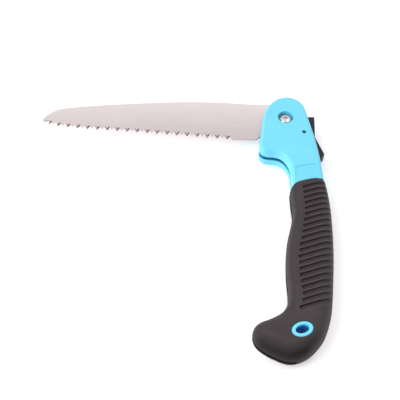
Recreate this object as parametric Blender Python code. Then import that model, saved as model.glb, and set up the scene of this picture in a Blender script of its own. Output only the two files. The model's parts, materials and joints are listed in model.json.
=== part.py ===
"""Folding pruning saw, lying on its side with the blade folded half out.

Lengths are in millimetres and are turned into metres where a mesh is made. Outlines are drawn in
plan, measured from the blade's pivot axis: +x towards the back of the handle, +y away from the
butt. +Z is up, through the saw's thickness, and the underside of the grip is at z = 0.
"""

import math

import bmesh
import bpy
from mathutils import Vector

MM = 0.001

# Thickness, measured along Z.
MID_Z = 12.0
GRIP_THICK = 24.0
HEAD_THICK = 18.8
TAIL_THICK = 17.2
SLOT_WIDTH = 3.0
BLADE_THICK = 1.2
LEVER_THICK = 8.0
SEAM_GAP = 0.3
FIT_GAP = 0.3

# Rounding of the outer edges: (width in plan, height along Z).
HEAD_EDGE = (2.6, 3.4)
TAIL_EDGE = (4.0, 5.0)
GRIP_EDGE = (7.6, 10.8)
# The core's tail lies this far inside the grip's outline.
TAIL_INSET = 3.4

# Where things stand in plan. PIVOT is the blade's axis in the part's own frame; the rest is
# measured from it.
PIVOT = (83.3, 88.4)
LEVER_PIN = (13.4, -15.4)
EYELET = (-2.5, -183.0)
EYELET_TILT = math.radians(20)
PANEL_CORNERS = [(19.9, -46.4), (3.5, -49.8), (3.1, -60.6), (19.8, -57.9)]
PANEL_ROUNDING = 2.2
PANEL_DEPTH = 0.6
HANDLE_SCREWS = [(18.0, -52.0), (15.5, -92.0), (11.0, -132.0), (5.5, -166.0)]
CORE_DOWELS = [(18.0, -70.0), (8.0, -149.0)]
DOWEL_RADIUS = 1.5
DOWEL_HALF_LENGTH = 5.0

# Blade and tang.
TEETH = 38
TOOTH_DEPTH = 3.4
TANG_RADIUS = 17.0
NOTCH_RADIUS = 15.0
BLADE_BORE = 8.0

# Pivot stack.
RECESS_RADIUS = 6.15
RECESS_FLOOR = 16.2
NUT_POCKET_RADIUS = 5.8
NUT_POCKET_FLOOR = 7.4
SHANK_RADIUS = 2.5
SLEEVE_RADIUS = 3.7
NUT_RADIUS = 4.6

# Lock lever's pin.
PIN_RADIUS = 1.25

# Eyelet, half lengths of its oval.
EYELET_OUTER = (7.4, 5.2)
EYELET_INNER = (4.6, 2.8)
EYELET_CHAMFER = 0.5

# Handle screws, driven from the underside.
SCREW_HEAD_RADIUS = 2.8
SCREW_RADIUS = 1.45
SCREW_SEAT = 6.0
SCREW_TIP = 18.2

TURQUOISE = (0.235, 0.79, 1.0)
STEEL = (0.72, 0.66, 0.66)
BRIGHT_STEEL = (0.8, 0.8, 0.8)
DARK_STEEL = (0.06, 0.06, 0.065)
RUBBER = (0.095, 0.078, 0.08)
BLACK = (0.04, 0.04, 0.05)
BRASS = (0.72, 0.5, 0.18)

# Outlines: a point with a third item is a sharp corner, and the rest are joined by a smooth curve.
HEAD_OUTLINE = [
    (-12.0, 14.4), (-15.8, 8.0), (-18.4, -3.0), (-20.2, -15.0), (-21.5, -24.0), (-21.8, -29.5),
    (-19.8, -33.0), (-16.2, -34.6), (-10.4, -35.3), (-5.8, -37.2), (-2.2, -41.6), (0.2, -48.0),
    (0.6, -56.0), (0.2, -76.0, "corner"), (24.4, -76.0, "corner"), (24.2, -55.0),
    (23.5, -38.5), (22.0, -23.5), (19.7, -8.0), (17.5, 5.0), (16.0, 12.6), (13.3, 17.6),
    (8.2, 21.6), (1.2, 23.0), (-6.6, 20.0),
]
# Where the grip starts on the neck, seen in plan.
GRIP_START = [(-5.0, -73.2), (-0.8, -68.2), (2.4, -65.8), (8.5, -63.4), (19.0, -61.2), (31.0, -60.7)]
GRIP_OUTLINE = [
    (-1.2, -40.0, "corner"), (-1.2, -77.0), (-0.9, -90.0), (-3.1, -100.5), (-5.8, -110.7),
    (-7.9, -125.0), (-8.8, -141.0), (-8.7, -154.0), (-9.9, -161.8), (-14.4, -168.2),
    (-22.2, -172.4), (-28.6, -174.9), (-32.6, -178.4), (-34.0, -183.2), (-32.9, -188.2),
    (-29.4, -192.4), (-21.5, -197.6), (-10.4, -201.4), (0.2, -198.4), (9.0, -190.7),
    (14.4, -182.4), (19.1, -168.4), (22.5, -147.5), (25.9, -119.0), (27.4, -92.0),
    (27.3, -75.0), (25.9, -58.0), (25.2, -40.0, "corner"),
]
SLOT_OUTLINE = [
    (-60.0, 45.0, "corner"), (-60.0, -215.0, "corner"), (-5.3, -215.0, "corner"),
    (-5.3, -202.5, "corner"), (-9.6, -195.0), (-11.7, -187.0), (-8.6, -176.4), (-4.2, -152.5),
    (-0.8, -128.6), (3.3, -104.8), (7.6, -81.0), (10.6, -62.0), (13.9, -43.5),
    (15.8, -24.6, "corner"), (13.5, -20.0, "corner"), (17.0, -13.0, "corner"),
    (26.0, 0.0, "corner"), (40.0, 10.0, "corner"), (40.0, 45.0, "corner"),
]
LEVER_POCKET = [
    (40.0, 9.0), (14.2, 9.0), (14.2, 4.0), (15.2, 0.5), (16.6, -3.0), (16.5, -8.0), (15.0, -10.8),
    (13.4, -11.8), (9.8, -14.0), (9.8, -18.0), (13.4, -20.2), (15.6, -21.5), (16.6, -28.0),
    (17.2, -36.0), (16.8, -42.0), (18.2, -42.0), (19.4, -39.0), (40.0, -39.0),
]
LEVER_OUTLINE = [
    (23.9, 4.9, "corner"), (16.7, 4.9, "corner"), (17.1, 2.6, "corner"), (18.5, 1.2, "corner"),
    (18.8, -3.0), (17.9, -8.5), (15.8, -12.0), (13.4, -12.5), (10.8, -14.0), (10.9, -17.0),
    (13.4, -18.4), (16.4, -20.0), (18.2, -26.0), (19.7, -31.5), (21.6, -36.2, "corner"),
    (26.0, -36.2, "corner"), (28.1, -33.6, "corner"), (22.4, -16.0, "corner"), (23.1, -7.0),
]
SPINE = [
    (-7.0, 22.6), (-16.9, 21.2), (-46.4, 23.5), (-76.0, 24.5), (-105.6, 23.6), (-149.8, 20.7),
    (-178.9, 17.2), (-186.5, 14.4), (-191.1, 10.4), (-193.8, 7.2), (-194.65, 4.6),
]
TOOTH_LINE = [
    (-193.1, 3.3), (-188.5, 0.4), (-176.7, -2.2), (-152.5, -4.8), (-128.4, -6.9),
    (-104.4, -9.1), (-80.5, -11.6), (-61.5, -13.5), (-42.5, -15.5),
]
HEEL = [(-36.2, -15.7), (-23.6, -15.9), (-14.9, -8.2)]
# Rim of the tang, as arcs round the pivot: (radius, first and last degrees, steps). The two
# notches, next to the raised shoulders, take the lever's nose when the blade is shut or open.
TANG_RIM = [
    (TANG_RADIUS, -150.0, -82.0, 9), (NOTCH_RADIUS, -76.8, -65.8, 2),
    (TANG_RADIUS, -64.5, -54.0, 2), (NOTCH_RADIUS, -42.0, 64.0, 13),
    (TANG_RADIUS, 76.0, 88.5, 2), (NOTCH_RADIUS, 94.0, 106.5, 2),
]
SPRING_PATH = [(17.5, -41.6), (18.1, -38.4), (19.0, -34.5), (18.6, -30.0), (17.4, -26.4)]


# ---------------------------------------------------------------- plan curves

def smooth_loop(points, steps=3):
    """Closed curve through the points, straight between two corners."""
    spots = [Vector(point[:2]) for point in points]
    corner = [len(point) > 2 for point in points]
    loop = []
    for i, start in enumerate(spots):
        j = (i + 1) % len(spots)
        end = spots[j]
        if corner[i] and corner[j]:
            loop.append(start)
            continue
        span = (end - start).length
        leave = end - start if corner[i] else (end - spots[i - 1]).normalized() * span
        after = spots[(j + 1) % len(spots)]
        arrive = end - start if corner[j] else (after - start).normalized() * span
        loop.extend(hermite(start, end, leave, arrive, k / steps) for k in range(steps))
    return loop


def smooth_path(points, steps=4):
    """Open curve through the points, both ends included."""
    spots = [Vector(point) for point in points]
    path = []
    for i in range(len(spots) - 1):
        start, end = spots[i], spots[i + 1]
        span = (end - start).length
        leave = (end - spots[max(i - 1, 0)]).normalized() * span
        arrive = (spots[min(i + 2, len(spots) - 1)] - start).normalized() * span
        path.extend(hermite(start, end, leave, arrive, k / steps) for k in range(steps))
    path.append(spots[-1])
    return path


def hermite(start, end, leave, arrive, t):
    """Point on a cubic curve from start to end."""
    a = 2 * t**3 - 3 * t**2 + 1
    b = t**3 - 2 * t**2 + t
    c = t**3 - t**2
    return start * a + leave * b + end * (1 - a) + arrive * c


def circle(centre, radius, segments):
    """Circle as a counter-clockwise loop."""
    angles = [2 * math.pi * k / segments for k in range(segments)]
    return [Vector((centre[0] + radius * math.cos(a), centre[1] + radius * math.sin(a)))
            for a in angles]


def oval(centre, half_sizes, tilt, segments=20):
    """Ellipse as a counter-clockwise loop."""
    loop = []
    for k in range(segments):
        angle = 2 * math.pi * k / segments
        x = half_sizes[0] * math.cos(angle)
        y = half_sizes[1] * math.sin(angle)
        loop.append(Vector((centre[0] + x * math.cos(tilt) - y * math.sin(tilt),
                            centre[1] + x * math.sin(tilt) + y * math.cos(tilt))))
    return loop


def rounded_loop(corners, radius, steps=4):
    """Counter-clockwise loop through corners, each rounded by a short curve."""
    spots = [Vector(corner) for corner in corners]
    loop = []
    for i, spot in enumerate(spots):
        back = (spots[i - 1] - spot).normalized() * radius
        ahead = (spots[(i + 1) % len(spots)] - spot).normalized() * radius
        loop += [spot + back * (1 - k / steps)**2 + ahead * (k / steps)**2 for k in range(steps + 1)]
    return loop


def inset_loop(loop, distance):
    """Counter-clockwise loop moved inwards by a distance."""
    moved = []
    for i, spot in enumerate(loop):
        back = (spot - loop[i - 1]).normalized()
        ahead = (loop[(i + 1) % len(loop)] - spot).normalized()
        normal = Vector((-back.y - ahead.y, back.x + ahead.x)).normalized()
        lean = max(normal.dot(Vector((-ahead.y, ahead.x))), 0.7)
        moved.append(spot + normal * distance / lean)
    return moved


# ---------------------------------------------------------------- solids

def finish_mesh(name, mesh, material, parent, offset):
    """Object from a bmesh, with its normals out and smooth round faces."""
    bmesh.ops.recalc_face_normals(mesh, faces=mesh.faces)
    data = bpy.data.meshes.new(name)
    mesh.to_mesh(data)
    mesh.free()
    data.shade_smooth()
    data.set_sharp_from_angle(angle=math.radians(30))
    item = bpy.data.objects.new(name, data)
    bpy.context.scene.collection.objects.link(item)
    item.parent = parent
    item.location = (offset[0] * MM, offset[1] * MM, 0)
    if material is None:
        item.hide_render = True
        item.display_type = 'WIRE'
    else:
        data.materials.append(material)
    return item


def loft(name, rings, material=None, parent=None, offset=(0, 0), hollow=False):
    """Solid through a stack of (loop, z) rings, all with the same number of points.

    A hollow stack closes its last ring on its first, which leaves a hole along Z.
    """
    mesh = bmesh.new()
    layers = [[mesh.verts.new((spot.x * MM, spot.y * MM, z * MM)) for spot in loop]
              for loop, z in rings]
    pairs = list(zip(layers, layers[1:]))
    if hollow:
        pairs.append((layers[-1], layers[0]))
    else:
        mesh.faces.new(layers[0])
        mesh.faces.new(layers[-1])
    for low, high in pairs:
        for i in range(len(low)):
            mesh.faces.new((low[i - 1], low[i], high[i], high[i - 1]))
    return finish_mesh(name, mesh, material, parent or pivot_frame, offset)


def half_slab(name, loop, side, near, far, edge, material=None, steps=3):
    """Half of a slab split at the blade's plane, with its outer edge rounded.

    near and far are heights above the blade's plane for side +1, below it for side -1. edge is
    the rounding's (width in plan, height along Z).
    """
    rings = [(loop, MID_Z + side * near)]
    for k in range(steps + 1):
        angle = math.pi / 2 * k / steps
        inset = edge[0] * (1 - math.cos(angle))
        height = far - edge[1] * (1 - math.sin(angle))
        rings.append((inset_loop(loop, inset), MID_Z + side * height))
    return loft(name, rings, material)


def turned(name, centre, profile, material=None, parent=None, offset=(0, 0), hollow=False,
           segments=20):
    """Round solid about a vertical axis from a list of (radius, z)."""
    rings = [(circle(centre, radius, segments), z) for radius, z in profile]
    return loft(name, rings, material, parent, offset, hollow)


def block(name, loop, low, high):
    """Cutter: a loop extruded from low to high."""
    return loft(name, [(loop, low), (loop, high)])


def change(target, tool, operation='DIFFERENCE'):
    """Cut a piece with another, or join the two."""
    modifier = target.modifiers.new(tool.name, 'BOOLEAN')
    modifier.operation = operation
    modifier.solver = 'EXACT'
    modifier.object = tool


def plastic(name, colour, roughness, metallic=0.0):
    """Principled material."""
    material = bpy.data.materials.new(name)
    material.use_nodes = True
    shader = material.node_tree.nodes["Principled BSDF"]
    shader.inputs["Base Color"].default_value = (*colour, 1)
    shader.inputs["Roughness"].default_value = roughness
    shader.inputs["Metallic"].default_value = metallic
    return material


def make_empty(name, place):
    """Empty that stands on an axis of the saw."""
    empty = bpy.data.objects.new(name, None)
    bpy.context.scene.collection.objects.link(empty)
    empty.location = (place[0] * MM, place[1] * MM, 0)
    return empty


# ---------------------------------------------------------------- cutters

def tail_loop(inset):
    """Outline of the core's part inside the grip, or of the grip's hollow."""
    grip = inset_loop(smooth_loop(GRIP_OUTLINE), inset)
    inside = [spot for spot in grip if spot.y < -70.0]
    left, right = inside[0], inside[-1]
    return inside + [Vector((right.x - 1.0, -52.0)), Vector((left.x + 1.0, -52.0))]


def across_handle(name, shift, far):
    """Cutter over all of the handle on one side of the line where the grip starts."""
    line = [spot + Vector((0, shift)) for spot in smooth_path(GRIP_START)]
    ends = [Vector((line[-1].x, far)), Vector((line[0].x, far))]
    return block(name, line + ends, -GRIP_THICK, 2 * GRIP_THICK)


def make_cutters():
    """Cutters that both halves of the handle share."""
    reach = GRIP_THICK
    slot = smooth_loop(SLOT_OUTLINE)
    pocket = [Vector(point) for point in LEVER_POCKET]
    pocket_half = LEVER_THICK / 2 + 0.5
    cutters = {
        "below start": across_handle("cut_below_start", 0.0, -90.0),
        "above start": across_handle("cut_above_start", -FIT_GAP, -30.0),
        "slot": block("cut_slot", slot, MID_Z - SLOT_WIDTH / 2, MID_Z + SLOT_WIDTH / 2),
        "pocket": block("cut_lever_pocket", pocket, MID_Z - pocket_half, MID_Z + pocket_half),
        "pivot": turned("cut_pivot_bore", (0, 0), [(SHANK_RADIUS + FIT_GAP, -reach),
                                                   (SHANK_RADIUS + FIT_GAP, 2 * reach)]),
        "sleeve": turned("cut_sleeve_seat", (0, 0), [(SLEEVE_RADIUS + FIT_GAP, 9.0),
                                                     (SLEEVE_RADIUS + FIT_GAP, 15.0)]),
        "recess": turned("cut_screw_recess", (0, 0), [(RECESS_RADIUS, RECESS_FLOOR),
                                                      (RECESS_RADIUS, 2 * reach)]),
        "nut": turned("cut_nut_pocket", (0, 0), [(NUT_POCKET_RADIUS, -reach),
                                                 (NUT_POCKET_RADIUS, NUT_POCKET_FLOOR)]),
        "pin": turned("cut_lever_pin", LEVER_PIN, [(PIN_RADIUS + FIT_GAP, -reach),
                                                   (PIN_RADIUS + FIT_GAP, 2 * reach)],
                      segments=16),
        "eyelet": block("cut_eyelet", oval(EYELET, [half + FIT_GAP for half in EYELET_OUTER],
                                           EYELET_TILT), -reach, 2 * reach),
    }
    panel = rounded_loop(PANEL_CORNERS, PANEL_ROUNDING)
    floor = HEAD_THICK / 2 - PANEL_DEPTH
    cutters["front panel"] = block("cut_front_panel", panel, MID_Z + floor, 2 * reach)
    cutters["rear panel"] = block("cut_rear_panel", panel, -reach, MID_Z - floor)
    for k, place in enumerate(HANDLE_SCREWS):
        clear = SCREW_HEAD_RADIUS + 0.4
        bore = SCREW_RADIUS + FIT_GAP
        profile = [(clear, -reach), (clear, SCREW_SEAT), (bore, SCREW_SEAT),
                   (bore, SCREW_TIP + FIT_GAP)]
        cutters["screw", k] = turned(f"cut_screw_{k + 1}", place, profile, segments=16)
    for k, place in enumerate(CORE_DOWELS):
        bore = DOWEL_RADIUS + FIT_GAP
        half = DOWEL_HALF_LENGTH + FIT_GAP
        profile = [(bore, MID_Z - half), (bore, MID_Z + half)]
        cutters["dowel", k] = turned(f"cut_dowel_{k + 1}", place, profile, segments=12)
    return cutters


# ---------------------------------------------------------------- handle

def make_core(name, side, cutters, material):
    """One half of the hard core: cheek, neck and the tail that the grip covers."""
    head = smooth_loop(HEAD_OUTLINE)
    core = half_slab(name, head, side, SEAM_GAP / 2, HEAD_THICK / 2, HEAD_EDGE, material)
    change(core, cutters["below start"])
    change(core, cutters["front panel" if side > 0 else "rear panel"])
    tail = half_slab(f"join_tail_{name}", tail_loop(TAIL_INSET), side, SEAM_GAP / 2 + 0.35,
                     TAIL_THICK / 2, TAIL_EDGE)
    change(core, tail, 'UNION')
    keys = ["slot", "pocket", "pivot", "sleeve", "pin", "eyelet"]
    keys.append("recess" if side > 0 else "nut")
    keys += [key for key in cutters if isinstance(key, tuple)]
    for key in keys:
        change(core, cutters[key])


def make_grip(name, side, cutters, material):
    """One half of the soft grip: a skin round the core's tail, open at the neck and slot."""
    outline = smooth_loop(GRIP_OUTLINE)
    grip = half_slab(name, outline, side, SEAM_GAP / 2, GRIP_THICK / 2, GRIP_EDGE, material)
    hollow = half_slab(f"cut_hollow_{name}", tail_loop(TAIL_INSET - FIT_GAP), side, -2.0,
                       TAIL_THICK / 2 + FIT_GAP, TAIL_EDGE)
    change(grip, hollow)
    for key in ["above start", "slot", "eyelet"]:
        change(grip, cutters[key])
    if side < 0:
        for k in range(len(HANDLE_SCREWS)):
            change(grip, cutters["screw", k])


def make_eyelet(material):
    """Oval bush that lines the lanyard hole from face to face."""
    top = GRIP_THICK - 0.1
    edge = EYELET_CHAMFER
    rings = []
    for grow, z in [(-edge, 0.1), (0, 0.1 + edge), (0, top - edge), (-edge, top)]:
        rings.append((oval(EYELET, [half + grow for half in EYELET_OUTER], EYELET_TILT), z))
    for grow, z in [(edge, top), (0, top - edge), (0, 0.1 + edge), (edge, 0.1)]:
        rings.append((oval(EYELET, [half + grow for half in EYELET_INNER], EYELET_TILT), z))
    loft("lanyard_eyelet", rings, material, hollow=True)


# ---------------------------------------------------------------- blade

def polar(radius, degrees):
    """Point at a radius and an angle round the pivot."""
    angle = math.radians(degrees)
    return Vector((radius * math.cos(angle), radius * math.sin(angle)))


def arc(radius, first, last, steps):
    """Points along an arc round the pivot."""
    return [polar(radius, first + (last - first) * k / steps) for k in range(steps + 1)]


def even_points(path, count):
    """Points at equal distances along a path."""
    lengths = [0.0]
    for start, end in zip(path, path[1:]):
        lengths.append(lengths[-1] + (end - start).length)
    spots = []
    leg = 0
    for k in range(count):
        reach = lengths[-1] * k / (count - 1)
        while leg < len(path) - 2 and lengths[leg + 1] < reach:
            leg += 1
        share = (reach - lengths[leg]) / (lengths[leg + 1] - lengths[leg])
        spots.append(path[leg].lerp(path[leg + 1], share))
    return spots


def blade_loop():
    """Blade outline, counter-clockwise: spine, tip, teeth, heel and tang."""
    spine = smooth_path(SPINE, 3)
    tips = even_points(smooth_path(TOOTH_LINE, 4), TEETH + 1)
    teeth = [tips[0]]
    for start, end in zip(tips, tips[1:]):
        along = (end - start).normalized()
        root = start.lerp(end, 0.5) + Vector((-along.y, along.x)) * TOOTH_DEPTH
        teeth += [root, end]
    heel = [Vector(point) for point in HEEL]
    rim = []
    for radius, first, last, steps in TANG_RIM:
        rim += arc(radius, first, last, steps)
    return spine + teeth + heel + rim


def make_blade(material):
    """Blade and tang in one flat plate, with the pivot bore."""
    low, high = MID_Z - BLADE_THICK / 2, MID_Z + BLADE_THICK / 2
    loop = blade_loop()
    blade = loft("blade", [(loop, low), (loop, high)], material, blade_axis)
    bore = turned("cut_blade_bore", (0, 0), [(BLADE_BORE / 2, low - 1), (BLADE_BORE / 2, high + 1)])
    change(blade, bore)


# ---------------------------------------------------------------- pivot stack

def cross_recess(name, centre, top, bottom, size):
    """Cutter for a cross recess: two crossed bars."""
    arm = size * 0.16
    corners = [(size, -arm), (size, arm), (arm, arm), (arm, size), (-arm, size), (-arm, arm),
               (-size, arm), (-size, -arm), (-arm, -arm), (-arm, -size), (arm, -size), (arm, -arm)]
    wide = [Vector((centre[0] + x, centre[1] + y)) for x, y in corners]
    tight = [Vector((centre[0] + 0.6 * x, centre[1] + 0.6 * y)) for x, y in corners]
    return loft(name, [(tight, bottom), (wide, top)])


def make_pivot(bright, dark, brass, shank_bore):
    """Screw, washers, sleeve and nut that the blade turns on."""
    head = [(SHANK_RADIUS, 3.4), (SHANK_RADIUS, 17.6), (4.6, 17.6), (4.6, 19.0), (4.2, 19.7),
            (2.9, 20.3), (1.2, 20.5)]
    screw = turned("pivot_screw", (0, 0), head, bright)
    change(screw, cross_recess("cut_pivot_cross", (0, 0), 21.9, 18.6, 3.4))

    def ring(name, inner, outer, low, high, material):
        profile = [(outer, low), (outer, high), (inner, high), (inner, low)]
        turned(name, (0, 0), profile, material, hollow=True)

    bore = SHANK_RADIUS + FIT_GAP
    ring("screw_washer", bore, 5.3, RECESS_FLOOR + FIT_GAP, 17.3, bright)
    ring("nut_washer", bore, 5.0, 6.3, NUT_POCKET_FLOOR - FIT_GAP, dark)
    ring("pivot_sleeve", bore, SLEEVE_RADIUS, 9.3, 14.7, dark)
    for name, side in [("front_blade_washer", 1), ("rear_blade_washer", -1)]:
        near = MID_Z + side * (BLADE_THICK / 2 + 0.2)
        far = MID_Z + side * (SLOT_WIDTH / 2 - 0.2)
        ring(name, BLADE_BORE / 2, 7.0, min(near, far), max(near, far), brass)
    hexagon = circle((0, 0), NUT_RADIUS, 6)
    nut = loft("pivot_nut", [(hexagon, 3.0), (hexagon, 6.0)], dark)
    change(nut, shank_bore)


# ---------------------------------------------------------------- lever

def make_lever(material, steel, dark):
    """Lock lever on its pin, with the leaf spring that returns it."""
    offset = (-LEVER_PIN[0], -LEVER_PIN[1])
    low, high = MID_Z - LEVER_THICK / 2, MID_Z + LEVER_THICK / 2
    loop = smooth_loop(LEVER_OUTLINE, 3)
    rings = [(inset_loop(loop, 0.5), low), (loop, low + 0.6), (loop, high - 0.6),
             (inset_loop(loop, 0.5), high)]
    lever = loft("lock_lever", rings, material, lever_axis, offset)
    hole = [(PIN_RADIUS + FIT_GAP, low - 1), (PIN_RADIUS + FIT_GAP, high + 1)]
    change(lever, turned("cut_lever_bore", LEVER_PIN, hole, None, lever_axis, offset,
                         segments=16))

    turned("lever_pin", LEVER_PIN, [(PIN_RADIUS - 0.2, 3.0), (PIN_RADIUS, 3.3),
                                    (PIN_RADIUS, 20.7), (PIN_RADIUS - 0.2, 21.0)], dark,
           segments=16)
    path = smooth_path(SPRING_PATH, 4)
    outer, inner = [], []
    for i, spot in enumerate(path):
        along = (path[min(i + 1, len(path) - 1)] - path[max(i - 1, 0)]).normalized()
        across = Vector((-along.y, along.x)) * 0.25
        outer.append(spot - across)
        inner.append(spot + across)
    leaf = outer + inner[::-1]
    loft("lever_spring", [(leaf, 9.0), (leaf, 15.0)], steel)


# ---------------------------------------------------------------- fasteners

def make_fasteners(steel):
    """Screws from the underside and the dowels that line the halves up."""
    profile = [(SCREW_HEAD_RADIUS - 0.4, SCREW_SEAT - 2.3), (SCREW_HEAD_RADIUS, SCREW_SEAT - 1.9),
               (SCREW_HEAD_RADIUS, SCREW_SEAT - FIT_GAP), (SCREW_RADIUS, SCREW_SEAT - FIT_GAP),
               (SCREW_RADIUS, SCREW_TIP - 1.0), (0.5, SCREW_TIP)]
    for k, place in enumerate(HANDLE_SCREWS):
        screw = turned(f"handle_screw_{k + 1}", place, profile, steel, segments=16)
        seat = SCREW_SEAT - 2.3
        cross = cross_recess(f"cut_cross_{k + 1}", place, seat - 1.0, seat + 1.2, 1.9)
        change(screw, cross)
    end = DOWEL_RADIUS - 0.3
    half = DOWEL_HALF_LENGTH
    profile = [(end, MID_Z - half), (DOWEL_RADIUS, MID_Z - half + 0.4),
               (DOWEL_RADIUS, MID_Z + half - 0.4), (end, MID_Z + half)]
    for k, place in enumerate(CORE_DOWELS):
        turned(f"core_dowel_{k + 1}", place, profile, steel, segments=12)


for old in list(bpy.data.objects):
    bpy.data.objects.remove(old, do_unlink=True)

pivot_frame = make_empty("pivot_frame", PIVOT)
blade_axis = make_empty("blade_axis", PIVOT)
lever_axis = make_empty("lever_axis", (PIVOT[0] + LEVER_PIN[0], PIVOT[1] + LEVER_PIN[1]))

turquoise = plastic("turquoise_plastic", TURQUOISE, 0.35)
rubber = plastic("grip_rubber", RUBBER, 0.6)
blade_steel = plastic("blade_steel", STEEL, 0.35, 1.0)
bright_steel = plastic("bright_steel", BRIGHT_STEEL, 0.15, 1.0)
dark_steel = plastic("dark_steel", DARK_STEEL, 0.4, 1.0)
black_plastic = plastic("black_plastic", BLACK, 0.45)
brass = plastic("washer_brass", BRASS, 0.3, 1.0)

cutters = make_cutters()
make_core("front_core_half", 1, cutters, turquoise)
make_core("rear_core_half", -1, cutters, turquoise)
make_grip("front_grip", 1, cutters, rubber)
make_grip("rear_grip", -1, cutters, rubber)
make_eyelet(turquoise)
make_blade(blade_steel)
make_pivot(bright_steel, dark_steel, brass, cutters["pivot"])
make_lever(black_plastic, bright_steel, dark_steel)
make_fasteners(dark_steel)
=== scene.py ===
"""Looks of the folding pruning saw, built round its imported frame.

Lengths are in millimetres here and become metres where a mesh is made. Plan coordinates are measured
from the blade's pivot axis, as in the part: +x towards the back of the handle, +y away from the butt.
"""

import json
import math

import bmesh
import bpy
import numpy as np
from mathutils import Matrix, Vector

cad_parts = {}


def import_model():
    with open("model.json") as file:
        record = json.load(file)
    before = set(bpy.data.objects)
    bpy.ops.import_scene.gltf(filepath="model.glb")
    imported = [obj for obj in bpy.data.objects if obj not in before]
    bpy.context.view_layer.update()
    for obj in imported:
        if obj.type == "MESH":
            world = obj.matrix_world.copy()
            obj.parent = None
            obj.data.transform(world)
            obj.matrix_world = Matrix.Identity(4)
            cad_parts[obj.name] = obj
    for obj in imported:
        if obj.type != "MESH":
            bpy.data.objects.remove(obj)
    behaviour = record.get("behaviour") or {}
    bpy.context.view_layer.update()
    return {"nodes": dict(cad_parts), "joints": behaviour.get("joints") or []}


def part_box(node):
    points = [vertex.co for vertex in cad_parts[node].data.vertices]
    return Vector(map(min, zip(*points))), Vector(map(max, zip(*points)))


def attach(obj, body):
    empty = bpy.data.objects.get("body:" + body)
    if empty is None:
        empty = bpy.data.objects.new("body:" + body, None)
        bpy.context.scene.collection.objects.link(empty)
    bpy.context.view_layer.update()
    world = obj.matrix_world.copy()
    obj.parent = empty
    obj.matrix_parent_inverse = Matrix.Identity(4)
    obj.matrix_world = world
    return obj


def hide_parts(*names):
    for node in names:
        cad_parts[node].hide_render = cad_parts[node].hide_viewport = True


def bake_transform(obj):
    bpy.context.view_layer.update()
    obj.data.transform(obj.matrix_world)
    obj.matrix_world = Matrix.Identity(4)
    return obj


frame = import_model()

MM = 0.001

# Where the axes are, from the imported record.
JOINTS = {joint["name"]: joint for joint in frame["joints"]}
PIVOT = Vector(JOINTS["blade_fold"]["pos_m"])
LEVER_PIN = (Vector(JOINTS["lever_press"]["pos_m"]) - PIVOT) / MM
MID_Z = PIVOT.z / MM
GRIP_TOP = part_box("front_grip")[1].z / MM
HEAD_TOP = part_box("front_core_half")[1].z / MM

SEAM_GAP = 0.3
FIT_GAP = 0.3
HAIR_GAP = 0.1
SLOT_WIDTH = 3.0
TAIL_THICK = 17.2
EYELET = (-2.5, -183.0)
EYELET_TILT = math.radians(20)
EYELET_OUTER = (7.4, 5.2)
EYELET_INNER = (4.6, 2.8)
PANEL_CORNERS = [(19.9, -46.4), (3.5, -49.8), (3.1, -60.6), (19.8, -57.9)]
PANEL_ROUNDING = 2.2
PANEL_DEPTH = 0.45
PANEL_BARS = 3
BAR_ENDS = (0.16, 0.84)
BAR_HALF_WIDTH = 0.4
BAR_ROUNDING = 0.35
HANDLE_SCREWS = [(18.0, -52.0), (15.5, -92.0), (11.0, -132.0), (5.5, -166.0)]
RECESS_RADIUS = 6.15
RECESS_FLOOR = 16.2
NUT_POCKET_RADIUS = 5.8
NUT_POCKET_FLOOR = 7.4
SHANK_RADIUS = 2.5
SLEEVE_RADIUS = 3.7
SLEEVE_HEIGHTS = (9.0, 15.0)
PIN_RADIUS = 1.25
SCREW_SEAT = 6.0
SCREW_POCKET_RADIUS = 3.2
SCREW_HOLE_RADIUS = 1.75
SCREW_HOLE_TOP = 18.5
POCKET_HALF = 4.5
LEVER_HALF = 4.0
SPRING_HALF_WIDTH = 3.0
SPRING_HALF_THICK = 0.25

# Rounding of the outer edges: how far it reaches inwards and downwards.
HEAD_EDGE = (2.6, 3.4)
TAIL_EDGE = (4.0, 5.0)

# The core's tail inside the grip: how far it lies within the outline, and where it starts and ends.
TAIL_INSET = 3.4
TAIL_EDGE_STEPS = 5
TAIL_BELOW = -70.0
TAIL_END = -52.0

# Heights past both faces of the saw, for cutters that go right through.
UNDER = -30
OVER = 60

# Corners: edges that turn by more are rounded, and shaded as sharp.
BEVEL_ANGLE = math.radians(35)
SHARP_ANGLE = math.radians(50)

# Ribs of the grip: pockets with a steep wall towards the head and a ramp towards the butt. They run
# along lines of constant y - RIB_SLOPE * x.
RIBS = 21
RIB_SLOPE = 0.33
RIB_FIRST = -71.8
RIB_PITCH = 4.7
RIB_DEPTH = 1.5
RIB_WALL = 0.11
RIB_RAMP = 0.76
RIB_ROWS = (0.0, 0.055, 0.11, 0.19, 0.32, 0.46, 0.6, 0.74, 0.87)
RIB_LEFT_ENDS = [(-71.8, 7.2), (-81.0, 7.6), (-95.0, 7.0), (-104.8, 4.7), (-118.8, 1.3),
                 (-128.0, -0.5), (-142.0, -0.9), (-156.5, 0.0), (-161.0, -0.6), (-165.8, -3.1)]

# The net of the grip: rows from the neck to the ribs, rows over the butt, and points in a row.
FIRST_ROW = -64.0
START_ROWS = 16
BUTT_ROWS = 52
EDGE_POINTS = 16
MIDDLE_POINTS = 60
START_LIP = 1.5

# Blade.
TEETH = 38
TOOTH_DEPTH = 3.4
TOOTH_BEVEL = 0.95
TOOTH_CREST = 0.42
BLADE_THICK = 1.2
TANG_RADIUS = 17.0
NOTCH_RADIUS = 15.0
BLADE_BORE = 8.0

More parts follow.
